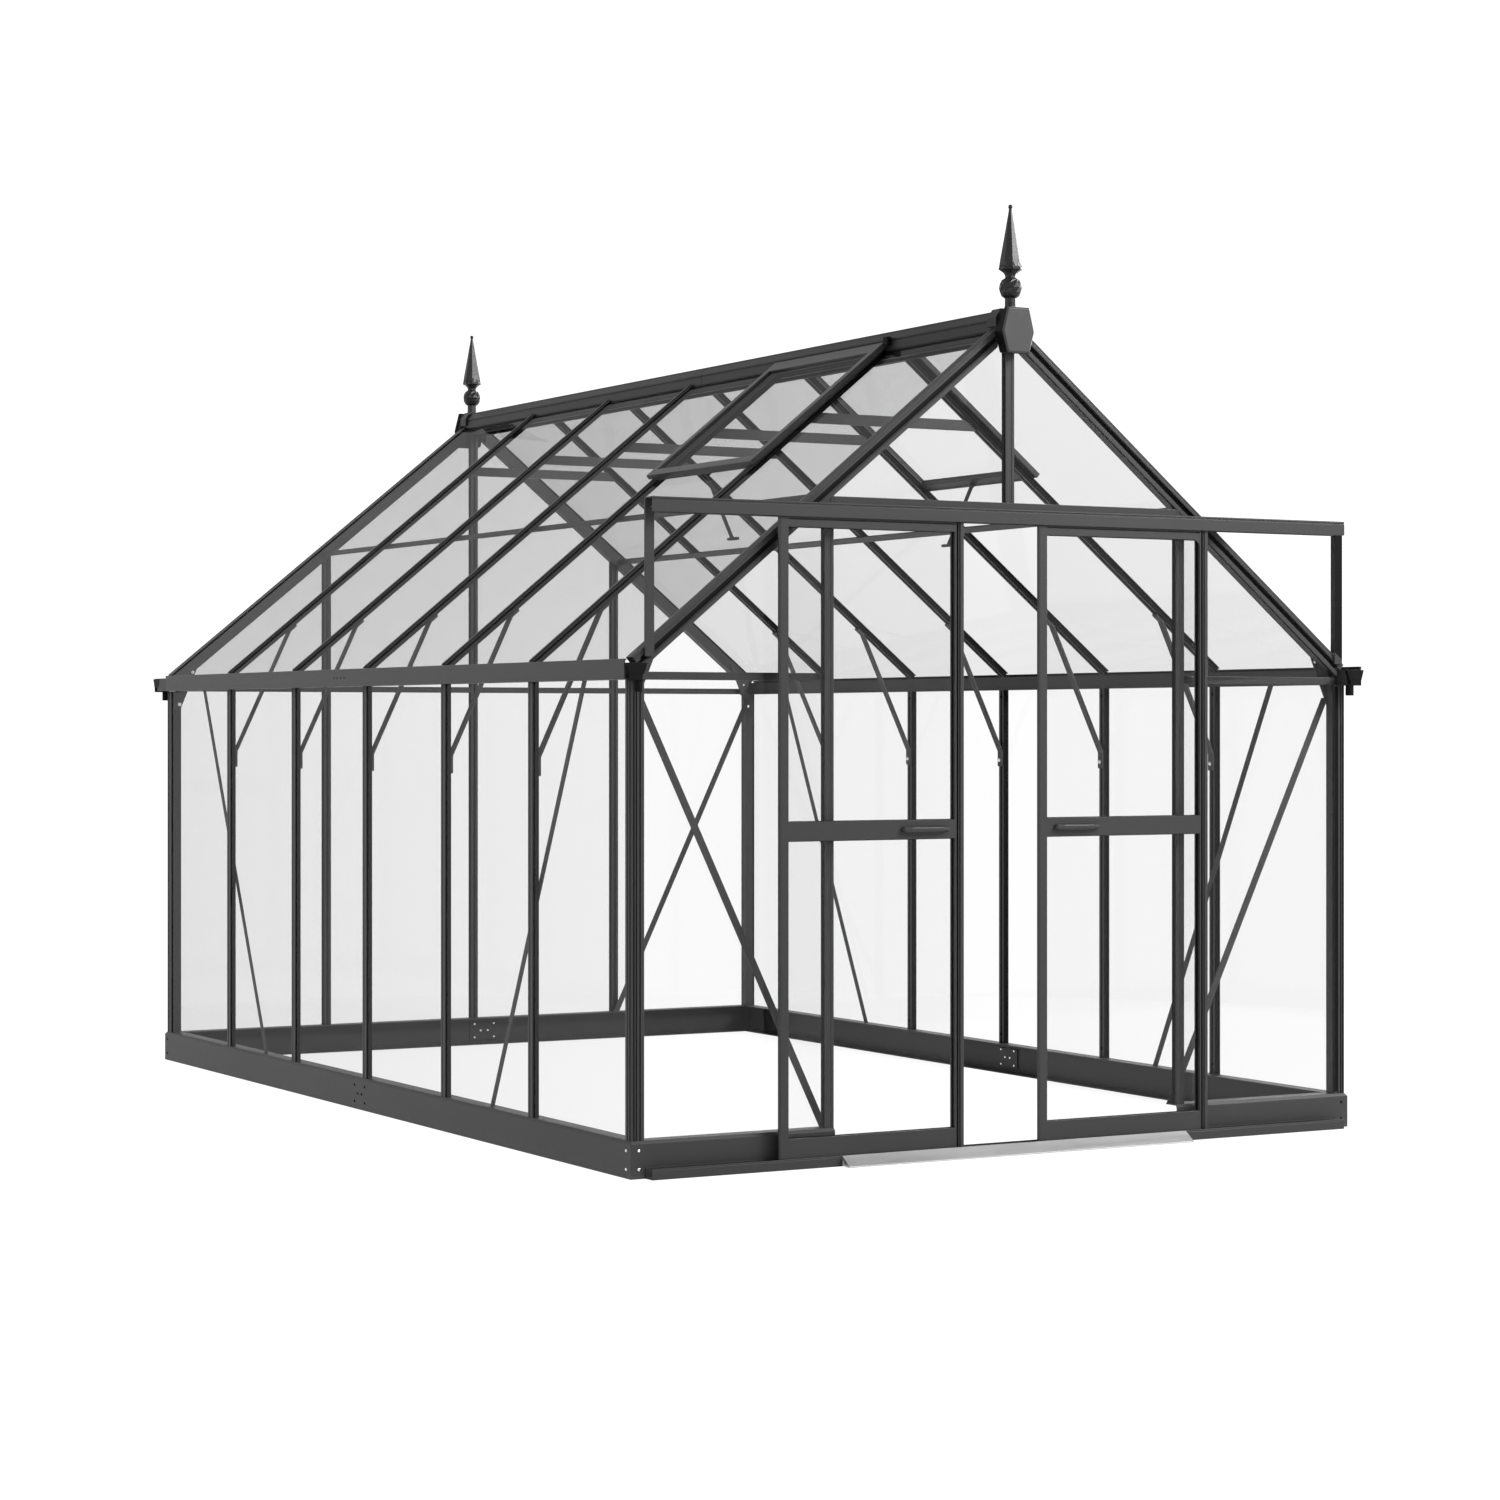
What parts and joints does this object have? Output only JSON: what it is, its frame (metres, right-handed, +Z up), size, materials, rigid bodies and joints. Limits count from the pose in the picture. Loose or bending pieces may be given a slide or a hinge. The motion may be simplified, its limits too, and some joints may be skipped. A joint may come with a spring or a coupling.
{
  "type": "greenhouse",
  "caption": "Glass greenhouse with a dark aluminium frame, pitched glazed roof with finials and vents, gutters, a low base and a pair of sliding doors with a ramp in the front gable.",
  "frame": {"origin": "centre of the whole outline on the ground, under the building", "axes": "+X to the right seen from the doors, +Y from the door gable to the back gable, +Z up"},
  "size_m": [2.552, 3.84, 2.741],
  "materials": {
    "frame_coat": "satin powder coat on extruded aluminium",
    "base_coat": "satin powder coat",
    "brace_coat": "satin powder coat on flat strip",
    "cresting_coat": "satin powder coat on cast pieces",
    "handle_coat": "satin powder coat",
    "mill_aluminium": "mill finish sheet",
    "black_plastic": "moulded",
    "glass": "clear toughened glass"
  },
  "bodies": {
    "frame": {"base_front": "base_coat", "base_back": "base_coat", "base_left": "base_coat", "base_right": "base_coat", "base_splices": "base_coat", "bottom_track": "frame_coat", "door_ramp": "mill_aluminium", "top_track": "frame_coat", "track_end_struts": "frame_coat", "corner_posts": "frame_coat", "left_wall_bars": "frame_coat", "right_wall_bars": "frame_coat", "back_gable_bars": "frame_coat", "front_gable_posts": "frame_coat", "door_header": "frame_coat", "eave_rails": "frame_coat", "left_gutter": "frame_coat", "right_gutter": "frame_coat", "gutter_end_caps": "black_plastic", "gable_rafters": "frame_coat", "left_roof_rafters": "frame_coat", "right_roof_rafters": "frame_coat", "ridge": "frame_coat", "ridge_caps": "cresting_coat", "finials": "cresting_coat", "vent_frames": "frame_coat", "vent_glass": "glass", "vent_stays": "brace_coat", "knee_braces": "brace_coat", "collar_ties": "brace_coat", "purlins": "brace_coat", "diagonal_braces": "brace_coat", "gable_gussets": "brace_coat", "left_wall_glass": "glass", "right_wall_glass": "glass", "left_roof_glass": "glass", "right_roof_glass": "glass", "front_gable_glass": "glass", "back_gable_glass": "glass"},
    "left_door": {"left_door_frame": "frame_coat", "left_door_glass": "glass", "left_door_handle": "handle_coat"},
    "right_door": {"right_door_frame": "frame_coat", "right_door_glass": "glass", "right_door_handle": "handle_coat"}
  },
  "joints": [
    {"name": "left_door_slide", "type": "slide", "parent": "frame", "child": "left_door", "axis": [1, 0, 0], "range_m": [-0.386, 0.182]},
    {"name": "right_door_slide", "type": "slide", "parent": "frame", "child": "right_door", "axis": [1, 0, 0], "range_m": [-0.069, 0.498]}
  ]
}
